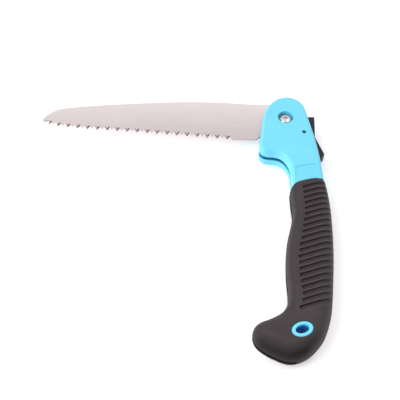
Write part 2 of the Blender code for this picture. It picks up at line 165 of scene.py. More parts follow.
# Outlines: a point with a third item is a sharp corner.
HEAD_OUTLINE = [
    (-12.0, 14.4), (-15.8, 8.0), (-18.4, -3.0), (-20.2, -15.0), (-21.5, -24.0), (-21.8, -29.5),
    (-19.8, -33.0), (-16.2, -34.6), (-10.4, -35.3), (-5.8, -37.2), (-2.2, -41.6), (0.2, -48.0),
    (0.6, -56.0), (0.2, -76.0, "corner"), (24.4, -76.0, "corner"), (24.2, -55.0),
    (23.5, -38.5), (22.0, -23.5), (19.7, -8.0), (17.5, 5.0), (16.0, 12.6), (13.3, 17.6),
    (8.2, 21.6), (1.2, 23.0), (-6.6, 20.0),
]
GRIP_START = [(-5.0, -73.2), (-0.8, -68.2), (2.4, -65.8), (8.5, -63.4), (19.0, -61.2), (31.0, -60.7)]
GRIP_OUTLINE = [
    (-1.2, -40.0, "corner"), (-1.2, -77.0), (-0.9, -90.0), (-3.1, -100.5), (-5.8, -110.7),
    (-7.9, -125.0), (-8.8, -141.0), (-8.7, -154.0), (-9.9, -161.8), (-14.4, -168.2),
    (-22.2, -172.4), (-28.6, -174.9), (-32.6, -178.4), (-34.0, -183.2), (-32.9, -188.2),
    (-29.4, -192.4), (-21.5, -197.6), (-10.4, -201.4), (0.2, -198.4), (9.0, -190.7),
    (14.4, -182.4), (19.1, -168.4), (22.5, -147.5), (25.9, -119.0), (27.4, -92.0),
    (27.3, -75.0), (25.9, -58.0), (25.2, -40.0, "corner"),
]
SLOT_OUTLINE = [
    (-60.0, 45.0, "corner"), (-60.0, -215.0, "corner"), (-5.3, -215.0, "corner"),
    (-5.3, -202.5, "corner"), (-9.6, -195.0), (-11.7, -187.0), (-8.6, -176.4), (-4.2, -152.5),
    (-0.8, -128.6), (3.3, -104.8), (7.6, -81.0), (10.6, -62.0), (13.9, -43.5),
    (15.8, -24.6, "corner"), (13.5, -20.0, "corner"), (17.0, -13.0, "corner"),
    (26.0, 0.0, "corner"), (40.0, 10.0, "corner"), (40.0, 45.0, "corner"),
]
LEVER_POCKET = [
    (40.0, 9.0), (14.2, 9.0), (14.2, 4.0), (15.2, 0.5), (16.6, -3.0), (16.5, -8.0), (15.0, -10.8),
    (13.4, -11.8), (9.8, -14.0), (9.8, -18.0), (13.4, -20.2), (15.6, -21.5), (16.6, -28.0),
    (17.2, -36.0), (16.8, -42.0), (18.2, -42.0), (19.4, -39.0), (40.0, -39.0),
]
LEVER_OUTLINE = [
    (23.9, 4.9, "corner"), (16.7, 4.9, "corner"), (17.1, 2.6, "corner"), (18.5, 1.2, "corner"),
    (18.8, -3.0), (17.9, -8.5), (15.8, -12.0), (13.4, -12.5), (10.8, -14.0), (10.9, -17.0),
    (13.4, -18.4), (16.4, -20.0), (18.2, -26.0), (19.7, -31.5), (21.6, -36.2, "corner"),
    (26.0, -36.2, "corner"), (28.1, -33.6, "corner"), (22.4, -16.0, "corner"), (23.1, -7.0),
]
# Shorter than the solid. Its free end still enters the pocket's wall when the lever is pressed.
SPRING_PATH = [(17.5, -41.6), (17.9, -38.6), (18.4, -35.6), (18.6, -33.0), (18.35, -31.2)]
SPINE = [
    (-7.0, 22.6), (-16.9, 21.2), (-46.4, 23.5), (-76.0, 24.5), (-105.6, 23.6), (-149.8, 20.7),
    (-178.9, 17.2), (-186.5, 14.4), (-191.1, 10.4), (-193.8, 7.2), (-194.65, 4.6),
]
TOOTH_LINE = [
    (-193.1, 3.3), (-188.5, 0.4), (-176.7, -2.2), (-152.5, -4.8), (-128.4, -6.9),
    (-104.4, -9.1), (-80.5, -11.6), (-61.5, -13.5), (-42.5, -15.5),
]
HEEL = [(-36.2, -15.7), (-23.6, -15.9), (-14.9, -8.2)]
TANG_RIM = [
    (TANG_RADIUS, -150.0, -82.0, 12), (NOTCH_RADIUS, -76.8, -65.8, 4),
    (TANG_RADIUS, -64.5, -54.0, 4), (NOTCH_RADIUS, -42.0, 64.0, 20),
    (TANG_RADIUS, 76.0, 88.5, 4), (NOTCH_RADIUS, 94.0, 106.5, 4),
]


# ---------------------------------------------------------------- plan curves

def hermite(start, end, leave, arrive, t):
    """Point on a cubic curve from start to end."""
    a = 2 * t**3 - 3 * t**2 + 1
    b = t**3 - 2 * t**2 + t
    c = t**3 - t**2
    return start * a + leave * b + end * (1 - a) + arrive * c


def smooth_loop(points, steps=8):
    """Closed curve through the points, straight between two corners."""
    spots = [Vector(point[:2]) for point in points]
    corner = [len(point) > 2 for point in points]
    loop = []
    for i, start in enumerate(spots):
        j = (i + 1) % len(spots)
        end = spots[j]
        if corner[i] and corner[j]:
            loop.append(start)
            continue
        span = (end - start).length
        leave = end - start if corner[i] else (end - spots[i - 1]).normalized() * span
        after = spots[(j + 1) % len(spots)]
        arrive = end - start if corner[j] else (after - start).normalized() * span
        loop.extend(hermite(start, end, leave, arrive, k / steps) for k in range(steps))
    return loop


def smooth_path(points, steps=6):
    """Open curve through the points, both ends included."""
    spots = [Vector(point) for point in points]
    path = []
    for i in range(len(spots) - 1):
        start, end = spots[i], spots[i + 1]
        span = (end - start).length
        leave = (end - spots[max(i - 1, 0)]).normalized() * span
        arrive = (spots[min(i + 2, len(spots) - 1)] - start).normalized() * span
        path.extend(hermite(start, end, leave, arrive, k / steps) for k in range(steps))
    path.append(spots[-1])
    return path


def circle(centre, radius, segments):
    """Circle as a counter-clockwise loop."""
    angles = [2 * math.pi * k / segments for k in range(segments)]
    return [Vector((centre[0] + radius * math.cos(a), centre[1] + radius * math.sin(a)))
            for a in angles]


def tilted(centre, x, y, tilt):
    """Point at (x, y) in axes turned by tilt about a centre."""
    return Vector((centre[0] + x * math.cos(tilt) - y * math.sin(tilt),
                   centre[1] + x * math.sin(tilt) + y * math.cos(tilt)))


def oval(centre, half_sizes, tilt):
    """Ellipse as a counter-clockwise loop."""
    segments = 60
    angles = [2 * math.pi * k / segments for k in range(segments)]
    return [tilted(centre, half_sizes[0] * math.cos(a), half_sizes[1] * math.sin(a), tilt)
            for a in angles]


def rounded_loop(corners, radius):
    """Counter-clockwise loop through corners, each rounded by a short curve."""
    steps = 8
    spots = [Vector(corner) for corner in corners]
    loop = []
    for i, spot in enumerate(spots):
        back = (spots[i - 1] - spot).normalized() * radius
        ahead = (spots[(i + 1) % len(spots)] - spot).normalized() * radius
        loop += [spot + back * (1 - k / steps)**2 + ahead * (k / steps)**2
                 for k in range(steps + 1)]
    return loop


def inset_loop(loop, distance):
    """Counter-clockwise loop moved inwards by a distance."""
    moved = []
    for i, spot in enumerate(loop):
        back = (spot - loop[i - 1]).normalized()
        ahead = (loop[(i + 1) % len(loop)] - spot).normalized()
        normal = Vector((-back.y - ahead.y, back.x + ahead.x)).normalized()
        lean = max(normal.dot(Vector((-ahead.y, ahead.x))), 0.7)
        moved.append(spot + normal * distance / lean)
    return moved


def even_points(path, count):
    """Points at equal distances along a path."""
    lengths = [0.0]
    for start, end in zip(path, path[1:]):
        lengths.append(lengths[-1] + (end - start).length)
    spots = []
    leg = 0
    for k in range(count):
        reach = lengths[-1] * k / (count - 1)
        while leg < len(path) - 2 and lengths[leg + 1] < reach:
            leg += 1
        share = (reach - lengths[leg]) / (lengths[leg + 1] - lengths[leg])
        spots.append(path[leg].lerp(path[leg + 1], share))
    return spots


def arc(radius, first, last, steps):
    """Points along an arc round the pivot, between two angles in degrees."""
    angles = [math.radians(first + (last - first) * k / steps) for k in range(steps + 1)]
    return [Vector((radius * math.cos(a), radius * math.sin(a))) for a in angles]


# ---------------------------------------------------------------- meshes

def world(x, y, z):
    """Plan coordinates in millimetres to the frame's metres."""
    return (PIVOT.x + x * MM, PIVOT.y + y * MM, z * MM)


def mesh_object(name, mesh, outward=True):
    """Object from a bmesh."""
    if outward:
        bmesh.ops.recalc_face_normals(mesh, faces=mesh.faces)
    data = bpy.data.meshes.new(name)
    mesh.to_mesh(data)
    mesh.free()
    item = bpy.data.objects.new(name, data)
    bpy.context.scene.collection.objects.link(item)
    return item


def loft(name, rings, hollow=False):
    """Solid through a stack of (loop, z) rings with equal numbers of points."""
    mesh = bmesh.new()
    layers = [[mesh.verts.new(world(spot.x, spot.y, z)) for spot in loop] for loop, z in rings]
    pairs = list(zip(layers, layers[1:]))
    if hollow:
        pairs.append((layers[-1], layers[0]))
    else:
        mesh.faces.new(layers[0])
        mesh.faces.new(layers[-1])
    for low, high in pairs:
        for i in range(len(low)):
            mesh.faces.new((low[i - 1], low[i], high[i], high[i - 1]))
    return mesh_object(name, mesh)


def turned(name, centre, profile, segments=48):
    """Round solid about a vertical axis from a list of (radius, z)."""
    return loft(name, [(circle(centre, radius, segments), z) for radius, z in profile])


def block(name, loop, low, high):
    """A loop extruded from low to high."""
    return loft(name, [(loop, low), (loop, high)])


def half_slab(name, loop, side, near, far, edge, steps=8):
    """Half of a slab split at the blade's plane, with its outer edge rounded."""
    rings = [(loop, MID_Z + side * near)]
    for k in range(steps + 1):
        angle = math.pi / 2 * k / steps
        inset = edge[0] * (1 - math.cos(angle))
        height = far - edge[1] * (1 - math.sin(angle))
        rings.append((inset_loop(loop, inset), MID_Z + side * height))
    return loft(name, rings)


def settle(item):
    """Apply an object's modifiers to its mesh."""
    bpy.context.view_layer.update()
    graph = bpy.context.evaluated_depsgraph_get()
    data = bpy.data.meshes.new_from_object(item.evaluated_get(graph))
    item.modifiers.clear()
    old = item.data
    item.data = data
    data.name = item.name
    bpy.data.meshes.remove(old)


def cut(item, tools, operation='DIFFERENCE'):
    """Cut an object with others, or join them to it."""
    for tool in tools:
        modifier = item.modifiers.new(tool.name, 'BOOLEAN')
        modifier.operation = operation
        modifier.solver = 'EXACT'
        modifier.object = tool
    settle(item)


def soften(item, width, segments=2):
    """Round the sharp edges and keep the flat faces flat in their shading."""
    if width:
        bevel = item.modifiers.new("edges", 'BEVEL')
        bevel.width = width * MM
        bevel.segments = segments
        bevel.limit_method = 'ANGLE'
        bevel.angle_limit = BEVEL_ANGLE
        bevel.use_clamp_overlap = True
        settle(item)
    item.data.shade_smooth()
    item.data.set_sharp_from_angle(angle=SHARP_ANGLE)
    weights = item.modifiers.new("normals", 'WEIGHTED_NORMAL')
    weights.keep_sharp = True
    settle(item)


def drop(items):
    """Delete helper objects."""
    for item in items:
        bpy.data.objects.remove(item, do_unlink=True)


def dress(item, material, body, nodes):
    """Give a finished piece its material and body, and hide the nodes it replaces."""
    item.data.materials.clear()
    item.data.materials.append(material)
    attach(item, body)
    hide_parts(*nodes)


# ---------------------------------------------------------------- materials

class Shader:
    """A node material with short calls for the nodes used here."""

    def __init__(self, name, roughness, metallic=0.0, specular=0.5):
        self.material = bpy.data.materials.new(name)
        self.material.use_nodes = True
        self.tree = self.material.node_tree
        self.surface = self.tree.nodes["Principled BSDF"]
        self.surface.inputs["Roughness"].default_value = roughness
        self.surface.inputs["Metallic"].default_value = metallic
        self.surface.inputs["Specular IOR Level"].default_value = specular
        coordinates = self.tree.nodes.new("ShaderNodeTexCoord")
        self.place = coordinates.outputs["Object"]
        self.normal = coordinates.outputs["Normal"]

    def join(self, start, node, socket):
        self.tree.links.new(start, node.inputs[socket])

    def noise(self, scale, detail=3.0, stretch=(1, 1, 1), rough=0.5):
        """Noise in object space, with scale in repeats per metre."""
        mapping = self.tree.nodes.new("ShaderNodeMapping")
        mapping.inputs["Scale"].default_value = stretch
        self.join(self.place, mapping, "Vector")
        node = self.tree.nodes.new("ShaderNodeTexNoise")
        node.inputs["Scale"].default_value = scale
        node.inputs["Detail"].default_value = detail
        node.inputs["Roughness"].default_value = rough
        self.join(mapping.outputs["Vector"], node, "Vector")
        return node.outputs["Fac"]

    def span(self, source, low, high, first=0.3, last=0.7):
        """Map first..last of a value to low..high."""
        node = self.tree.nodes.new("ShaderNodeMapRange")
        node.inputs["From Min"].default_value = first
        node.inputs["From Max"].default_value = last
        node.inputs["To Min"].default_value = low
        node.inputs["To Max"].default_value = high
        self.join(source, node, "Value")
        return node.outputs["Result"]

    def blend(self, factor, first, second):
        """Mix two colours; each is a tuple or a socket."""
        node = self.tree.nodes.new("ShaderNodeMix")
        node.data_type = 'RGBA'
        self.join(factor, node, "Factor")
        for socket, value in ((6, first), (7, second)):
            if isinstance(value, tuple):
                node.inputs[socket].default_value = (*value, 1)
            else:
                self.join(value, node, socket)
        return node.outputs[2]

    def colour(self, source):
        self.join(source, self.surface, "Base Color")

    def rough(self, source):
        self.join(source, self.surface, "Roughness")

    def bump(self, *layers):
        """Stack (height, strength, distance in mm) layers into the normal."""
        last = None
        for height, strength, distance in layers:
            node = self.tree.nodes.new("ShaderNodeBump")
            node.inputs["Strength"].default_value = strength
            node.inputs["Distance"].default_value = distance * MM
            self.join(height, node, "Height")
            if last is not None:
                self.join(last, node, "Normal")
            last = node.outputs["Normal"]
        self.join(last, self.surface, "Normal")

    def part_of(self, source, axis):
        """One coordinate of a vector."""
        split = self.tree.nodes.new("ShaderNodeSeparateXYZ")
        self.join(source, split, "Vector")
        return split.outputs[axis]

    def along(self, axis):
        """Place along an axis of the object, in metres."""
        return self.part_of(self.place, axis)

    def from_middle(self):
        """Height above or below the blade's plane, in millimetres."""
        return self.maths('ABSOLUTE', self.maths('MULTIPLY_ADD', self.along("Z"), 1 / MM, -MID_Z))

    def facing_up(self):
        """How far a face looks straight up or down, from 0 to 1."""
        return self.maths('ABSOLUTE', self.part_of(self.normal, "Z"))

    def maths(self, operation, source, *values):
        """Scalar operation on a socket and constants."""
        node = self.tree.nodes.new("ShaderNodeMath")
        node.operation = operation
        self.join(source, node, 0)
        for k, value in enumerate(values, 1):
            node.inputs[k].default_value = value
        return node.outputs[0]

    def product(self, first, second):
        """One factor times another."""
        node = self.tree.nodes.new("ShaderNodeMath")
        node.operation = 'MULTIPLY'
        self.join(first, node, 0)
        self.join(second, node, 1)
        return node.outputs[0]

    def edges(self, first, last):
        """Factor that rises on convex edges, or with the limits swapped in hollows."""
        geometry = self.tree.nodes.new("ShaderNodeNewGeometry")
        return self.span(geometry.outputs["Pointiness"], 0.0, 1.0, first, last)


def turquoise_material(name, clear_from, dark_from, deep, head_only):
    """Satin plastic with painted shade: it turns to a deep colour near the middle plane, inside the
    slot or hole.

    It keeps its own colour where the distance is over clear_from millimetres, and the painted shade,
    in the colour deep, is deepest under dark_from. With head_only, it keeps its own colour below the
    head too.
    """
    shader = Shader(name, 0.36)
    cloud = shader.noise(45, 4)
    shade = shader.blend(shader.span(cloud, 0, 1), (0.150, 0.635, 0.85), (0.172, 0.665, 0.88))
    # Painted shade: the colour turns to deep near the blade's plane, inside the slot and the ring's
    # bore.
    inside = shader.span(shader.from_middle(), 1, 0, dark_from, clear_from)
    # With head_only the painted shade fades out below the neck.
    if head_only:
        head = shader.span(shader.along("Y"), 0, 1, PIVOT.y - 0.047, PIVOT.y - 0.037)
        inside = shader.product(inside, head)
    shader.colour(shader.blend(inside, shade, deep))
    shader.rough(shader.span(shader.noise(900, 3), 0.3, 0.44))
    shader.bump((shader.noise(2600, 2), 0.12, 0.05), (shader.noise(220, 2), 0.10, 0.12))
    return shader.material


def rubber_material():
    """Matt rubber with painted light and shade. Its convex edges are lighter, partly from wear and
    partly as a painted highlight; its hollows and the slot's inside are darker with painted shade.

    It has painted shade on the grip's inner side and in front of the butt, and painted light at the
    butt's back.
    """
    shader = Shader("grip_rubber_painted_light", 0.62, specular=0.3)
    cloud = shader.noise(60, 4)
    shade = shader.blend(shader.span(cloud, 0, 1), (0.036, 0.028, 0.030), (0.048, 0.038, 0.040))
    # Lighter convex edges: partly wear, partly a painted highlight on the ribs' crests.
    wear_and_painted_highlight = shader.blend(shader.edges(0.5, 0.56), shade, (0.064, 0.052, 0.054))
    # Painted shade: darker in the hollows, such as the ribs' steep walls.
    tone_with_painted_light = shader.blend(shader.edges(0.49, 0.43), wear_and_painted_highlight, (0.024, 0.018, 0.019))
    # Factor for the butt, where the painted shade and painted light below are laid.
    low = shader.span(shader.along("Y"), 1, 0, PIVOT.y - 0.172, PIVOT.y - 0.158)
    # Painted shade on faces that look towards -x, the grip's inner side.
    painted_shade_inner_side = shader.span(shader.part_of(shader.normal, "X"), 0, 0.6, -0.1, -0.6)
    tone_with_painted_light = shader.blend(painted_shade_inner_side, tone_with_painted_light, (0.018, 0.013, 0.014))
    # Painted shade on faces at the butt that look towards -y, in front of it.
    butt = shader.product(low, shader.span(shader.part_of(shader.normal, "Y"), 0, 1, -0.2, -0.7))
    tone_with_painted_light = shader.blend(butt, tone_with_painted_light, (0.005, 0.002, 0.003))
    # Painted light on faces at the butt that look towards +x, its back.
    back = shader.product(low, shader.span(shader.part_of(shader.normal, "X"), 0, 0.7, 0.4, 0.75))
    tone_with_painted_light = shader.blend(back, tone_with_painted_light, (0.062, 0.052, 0.056))
    # Painted shade near the blade's plane, inside the slot.
    inside = shader.span(shader.from_middle(), 1, 0, 2.0, 4.5)
    shader.colour(shader.blend(inside, tone_with_painted_light, (0.012, 0.009, 0.010)))
    shader.rough(shader.span(shader.noise(1500, 3), 0.52, 0.74))
    shader.bump((shader.noise(3800, 3, rough=0.7), 0.35, 0.08),
                (shader.noise(400, 2), 0.15, 0.15))
    return shader.material


def blade_material():
    """Satin steel with painted light: lighter towards the spine, and with darker ground bevels
    painted light on one side and dark on the other.
    """
    shader = Shader("blade_steel_painted_light", 0.34, metallic=1.0)
    brushing = shader.noise(420, 4, stretch=(0.12, 1, 1), rough=0.6)
    broad = shader.noise(30, 3, stretch=(0.5, 1, 1))
    flat = shader.blend(shader.span(broad, 0, 1), (0.577, 0.507, 0.521), (0.642, 0.572, 0.577))
    lines = shader.blend(shader.span(brushing, 0, 0.35, 0.35, 0.65), flat, (0.70, 0.635, 0.635))
    # Painted light: the steel gets lighter towards the spine.
    across = shader.span(shader.along("Y"), 0, 0.75, PIVOT.y - 0.012, PIVOT.y + 0.024)
    shade = shader.blend(across, lines, (0.885, 0.80, 0.795))
    bevel = shader.span(shader.facing_up(), 1, 0, 0.8, 0.96)
    # Painted light and shade on the bevels: lighter where they face -x, darker where they face +x.
    side = shader.span(shader.part_of(shader.normal, "X"), 0, 1, -0.2, 0.2)
    ground = shader.blend(side, (0.60, 0.53, 0.54), (0.29, 0.25, 0.26))
    shader.colour(shader.blend(bevel, shade, ground))
    shader.rough(shader.span(brushing, 0.3, 0.42))
    shader.bump((brushing, 0.08, 0.03),
                (shader.noise(5000, 2, stretch=(0.03, 1, 1)), 0.10, 0.01))
    return shader.material


def chrome_material():
    shader = Shader("bright_steel_finish", 0.12, metallic=1.0)
    swirl = shader.noise(900, 4)
    shader.colour(shader.blend(shader.span(swirl, 0, 1),
                               (0.66, 0.61, 0.61), (0.80, 0.76, 0.75)))
    shader.rough(shader.span(swirl, 0.08, 0.2))
    shader.bump((swirl, 0.1, 0.02))
    return shader.material


def dark_steel_material():
    shader = Shader("dark_steel_finish", 0.45, metallic=0.9)
    grain = shader.noise(1400, 4)
    shader.colour(shader.blend(shader.span(grain, 0, 1),
                               (0.020, 0.020, 0.024), (0.035, 0.035, 0.040)))
    shader.rough(shader.span(grain, 0.3, 0.5))
    shader.bump((grain, 0.15, 0.03))
    return shader.material


def black_plastic_material():
    shader = Shader("black_plastic_finish", 0.45, specular=0.3)
    cloud = shader.noise(120, 4)
    shader.colour(shader.blend(shader.span(cloud, 0, 1),
                               (0.010, 0.010, 0.014), (0.016, 0.016, 0.021)))
    shader.rough(shader.span(shader.noise(1800, 3), 0.36, 0.5))
    shader.bump((shader.noise(4200, 2), 0.3, 0.05))
    return shader.material


def brass_material():
    shader = Shader("washer_brass_finish", 0.3, metallic=1.0)
    grain = shader.noise(1100, 4)
    shader.colour(shader.blend(shader.span(grain, 0, 1),
                               (0.66, 0.45, 0.15), (0.76, 0.55, 0.22)))
    shader.rough(shader.span(grain, 0.22, 0.4))
    shader.bump((grain, 0.12, 0.03))
    return shader.material


# ---------------------------------------------------------------- cutters

def tail_loop(inset):
    """Outline of the core's part inside the grip, or of the grip's hollow."""
    grip = inset_loop(smooth_loop(GRIP_OUTLINE, 4), inset)
    inside = [spot for spot in grip if spot.y < TAIL_BELOW]
    left, right = inside[0], inside[-1]
    return inside + [Vector((right.x - 1.0, TAIL_END)), Vector((left.x + 1.0, TAIL_END))]


def below_start():
    """Cutter over the head's outline below the line where the grip starts."""
    line = smooth_path(GRIP_START)
    far = -90.0
    ends = [Vector((line[-1].x, far)), Vector((line[0].x, far))]
    return block("cut_below", line + ends, UNDER, OVER)


def round_hole(name, centre, radius, low, high, segments=48):
    """Round cutter from low to high."""
    return turned(name, centre, [(radius, low), (radius, high)], segments)


def make_cutters():
    """Cutters that both halves of the handle share."""
    pocket = [Vector(point) for point in LEVER_POCKET]
    hole = [half + HAIR_GAP for half in EYELET_OUTER]
    return {
        "below start": below_start(),
        "slot": block("cut_slot", smooth_loop(SLOT_OUTLINE), MID_Z - SLOT_WIDTH / 2,
                      MID_Z + SLOT_WIDTH / 2),
        "pocket": block("cut_pocket", pocket, MID_Z - POCKET_HALF, MID_Z + POCKET_HALF),
        "pivot": round_hole("cut_pivot", (0, 0), SHANK_RADIUS + FIT_GAP, UNDER, OVER),
        "sleeve": round_hole("cut_sleeve", (0, 0), SLEEVE_RADIUS + FIT_GAP, *SLEEVE_HEIGHTS),
        "recess": round_hole("cut_recess", (0, 0), RECESS_RADIUS, RECESS_FLOOR, OVER, 64),
        "nut": round_hole("cut_nut", (0, 0), NUT_POCKET_RADIUS, UNDER, NUT_POCKET_FLOOR),
        "pin": round_hole("cut_pin", LEVER_PIN, PIN_RADIUS + FIT_GAP, UNDER, OVER, 32),
        "eyelet": block("cut_eyelet", oval(EYELET, hole, EYELET_TILT), UNDER + 10, OVER - 10),
    }


def screw_cutters():
    """Cutters for the handle screws' pockets and holes."""
    profile = [(SCREW_POCKET_RADIUS, UNDER), (SCREW_POCKET_RADIUS, SCREW_SEAT),
               (SCREW_HOLE_RADIUS, SCREW_SEAT), (SCREW_HOLE_RADIUS, SCREW_HOLE_TOP)]
    return [turned(f"cut_screw_{k}", place, profile, segments=32)
            for k, place in enumerate(HANDLE_SCREWS, 1)]


# ---------------------------------------------------------------- core

def panel_bars(side, face):
    """The raised bars across the panel."""
    top_right, top_left, low_left, low_right = [Vector(corner) for corner in PANEL_CORNERS]
    across = Vector((0, BAR_HALF_WIDTH))
    bars = []
    for k in range(1, PANEL_BARS + 1):
        share = k / (PANEL_BARS + 1)
        left, right = top_left.lerp(low_left, share), top_right.lerp(low_right, share)
        start, end = [left.lerp(right, reach) for reach in BAR_ENDS]
        corners = [end + across, start + across, start - across, end - across]
        loop = rounded_loop(corners, BAR_ROUNDING)
        bars.append(block("join_bar", loop, face - side * 0.8, face - side * 0.34))
    return bars


def make_core(side, cutters, screws):
    """One half of the hard core, with the panel and its bars on the neck."""
    name = "front_core" if side > 0 else "rear_core"
    face = MID_Z + side * (HEAD_TOP - MID_Z)
    core = half_slab(name, smooth_loop(HEAD_OUTLINE, 6), side, SEAM_GAP / 2, HEAD_TOP - MID_Z,
                     HEAD_EDGE)
    panel_loop = rounded_loop(PANEL_CORNERS, PANEL_ROUNDING)
    panel = block("cut_panel", panel_loop, face - side * PANEL_DEPTH, face + side * 10)
    cut(core, [cutters["below start"], panel])
    tail = half_slab("join_tail", tail_loop(TAIL_INSET), side, SEAM_GAP / 2 + 0.35, TAIL_THICK / 2,
                     TAIL_EDGE, TAIL_EDGE_STEPS)
    cut(core, [tail], 'UNION')
    keys = ["slot", "pocket", "pivot", "sleeve", "pin", "eyelet", "recess" if side > 0 else "nut"]
    cut(core, [cutters[key] for key in keys] + screws)
    bars = panel_bars(side, face)
    cut(core, bars, 'UNION')
    drop([panel, tail] + bars)
    soften(core, 0.28)
    return core


# ---------------------------------------------------------------- grip

def rib_depth(rows, x, depth_in):
    """How deep the ribs' pockets cut at each point. rows holds y - RIB_SLOPE * x.

    Across a pocket, its steep wall and its ramp take RIB_WALL and RIB_RAMP of the pitch. Its left
    end is slightly hooked, and it is shallower near the outline.
    """
    phase = (RIB_FIRST - rows) / RIB_PITCH
    rib = np.clip(np.floor(phase), 0, RIBS - 1)
    t = phase - rib
    line = RIB_FIRST - RIB_PITCH * rib
    ends = np.array(RIB_LEFT_ENDS)[::-1]
    left = np.interp(line, ends[:, 0], ends[:, 1])
    fall = np.clip(t / RIB_WALL, 0, 1)
    rise = np.clip(1 - (t - RIB_WALL) / RIB_RAMP, 0, 1) ** 0.8
    profile = np.where(t < 0, 0, np.minimum(fall, rise))
    hook = left + 1.5 * (np.clip(t, 0, 1) / 0.55 - 0.5) ** 2 - 0.4
    start = smoothstep((x - hook) / 0.9)
    back = 0.45 + 0.55 * smoothstep((depth_in - 2.6) / 1.6)
    return RIB_DEPTH * profile * start * back


def smoothstep(t):
    t = np.clip(t, 0, 1)
    return t * t * (3 - 2 * t)


def row_places(lowest):
    """Values of y - RIB_SLOPE * x for the rows of the grip's net, from the neck to the butt."""
    rows = list(np.linspace(FIRST_ROW, RIB_FIRST + 0.25, START_ROWS))
    for rib in range(RIBS):
        top = RIB_FIRST - RIB_PITCH * rib
        rows += [top - RIB_PITCH * t for t in RIB_ROWS]
    last = rows[-1]
    tail = last - lowest - 0.02
    rows += [last - tail * math.sin(math.pi / 2 * k / BUTT_ROWS) for k in range(1, BUTT_ROWS + 1)]
    return rows


def outline_gap(points, outline):
    """Distance of each point from a polyline."""
    starts, ends = outline[:-1], outline[1:]
    best = np.full(len(points), 1e9)
    for a, b in zip(starts, ends):
        along = b - a
        share = np.clip(((points - a) @ along) / (along @ along), 0, 1)
        best = np.minimum(best, np.linalg.norm(points - a - share[:, None] * along, axis=1))
    return best


def row_ends(outline, off):
    """Lowest and highest x of a row within the outline, from how far its points are off the row."""
    crossings = []
    for i in range(len(off) - 1):
        if off[i] * off[i + 1] < 0:
            share = off[i] / (off[i] - off[i + 1])
            crossings.append(outline[i, 0] + share * (outline[i + 1, 0] - outline[i, 0]))
    return min(crossings), max(crossings)


def grip_net(outline, start_line):
    """Plan points of the grip's net. The first rows bend to follow the line where it starts."""
    sheared = outline[:, 1] - RIB_SLOPE * outline[:, 0]
    start_rows = start_line[:, 1] - FIT_GAP - RIB_SLOPE * start_line[:, 0]
    rows = row_places(sheared.min())
    net = []
    for k, row in enumerate(rows):
        fade = max(0.0, 1 - k / (START_ROWS - 1))
        bend = fade * (np.interp(outline[:, 0], start_line[:, 0], start_rows) - rows[0])
        left, right = row_ends(outline, sheared - bend - row)
        wide = min(7.5, (right - left) * 0.3)
        near = wide * (1 - np.cos(np.linspace(0, math.pi / 2, EDGE_POINTS)))
        inner = np.linspace(left + wide, right - wide, MIDDLE_POINTS + 1)[1:-1]
        x = np.concatenate([left + near, inner, right - near[::-1]])
        shift = fade * (np.interp(x, start_line[:, 0], start_rows) - rows[0])
        net.append(np.stack([x, row + shift + RIB_SLOPE * x], axis=1))
    return np.array(net)


def grip_height(net, outline, start_line):
    """Height of the grip's surface over its base at each point of the net.

    The rounding is tighter on the inner side and wider at the butt.
    """
    flat = net.reshape(-1, 2)
    gap = outline_gap(flat, outline)
    middle = (net[:, :1, 0] + net[:, -1:, 0]) / 2
    inner_side = 1 - smoothstep((net[:, :, 0] - middle) / 6.0 + 0.5)
    inner_side = (inner_side * smoothstep((net[:, :, 1] + 172) / 20)).reshape(-1)
    span = 11.5 - 6.0 * inner_side + 2.5 * smoothstep((-182 - flat[:, 1]) / 14)
    power = 2.3
    rise = GRIP_TOP - MID_Z - SEAM_GAP / 2
    height = rise * (1 - (1 - np.clip(gap / span, 0, 1)) ** power) ** (1 / power)
    sheared = flat[:, 1] - RIB_SLOPE * flat[:, 0]
    height -= rib_depth(sheared, flat[:, 0], gap) * smoothstep(height / 5.0)
    from_start = outline_gap(flat, start_line - np.array([0, FIT_GAP]))
    lip = 1 - np.sqrt(1 - (1 - np.clip(from_start / START_LIP, 0, 1)) ** 2)
    height -= START_LIP * lip * (height > 3)
    height = np.maximum(height, 0.0).reshape(net.shape[:2])
    height[:, 0] = 0
    height[:, -1] = 0
    height[-1, :] = 0
    return height


def grip_solid(name, net, height, side):
    """Closed mesh over the net: its surface, the wall at the start, and the flat base."""
    base = MID_Z + side * SEAM_GAP / 2
    mesh = bmesh.new()
    verts = [[mesh.verts.new(world(*net[i, j], base + side * height[i, j]))
              for j in range(net.shape[1])] for i in range(net.shape[0])]
    for row, below in zip(verts, verts[1:]):
        for j in range(len(row) - 1):
            mesh.faces.new((row[j], row[j + 1], below[j + 1], below[j]))
    foot = [mesh.verts.new(world(*net[0, j], base)) for j in range(1, net.shape[1] - 1)]
    foot = [verts[0][0]] + foot + [verts[0][-1]]
    for j in range(len(foot) - 1):
        corners = [verts[0][j], verts[0][j + 1], foot[j + 1], foot[j]]
        mesh.faces.new(list(dict.fromkeys(corners)))
    under = [row[0] for row in verts] + verts[-1][1:-1] + [row[-1] for row in reversed(verts)]
    mesh.faces.new(under + foot[-2:0:-1])
    return mesh_object(name, mesh)


def make_grip(side, cutters, screws):
    """One half of the soft grip, as a dense net of rows that follow the ribs."""
    outline = np.array([tuple(spot) for spot in smooth_loop(GRIP_OUTLINE, 8)])
    start_line = np.array([tuple(spot) for spot in smooth_path(GRIP_START)])
    net = grip_net(outline, start_line)
    height = grip_height(net, outline, start_line)
    grip = grip_solid("front_grip_skin" if side > 0 else "rear_grip_skin", net, height, side)
    hollow = half_slab("cut_hollow", tail_loop(TAIL_INSET - FIT_GAP), side, -2.0,
                       TAIL_THICK / 2 + FIT_GAP, TAIL_EDGE, TAIL_EDGE_STEPS)
    cut(grip, [hollow, cutters["slot"], cutters["eyelet"]] + screws)
    drop([hollow])
    grip.data.shade_smooth()
    grip.data.set_sharp_from_angle(angle=SHARP_ANGLE)
    return grip


# ---------------------------------------------------------------- eyelet, blade

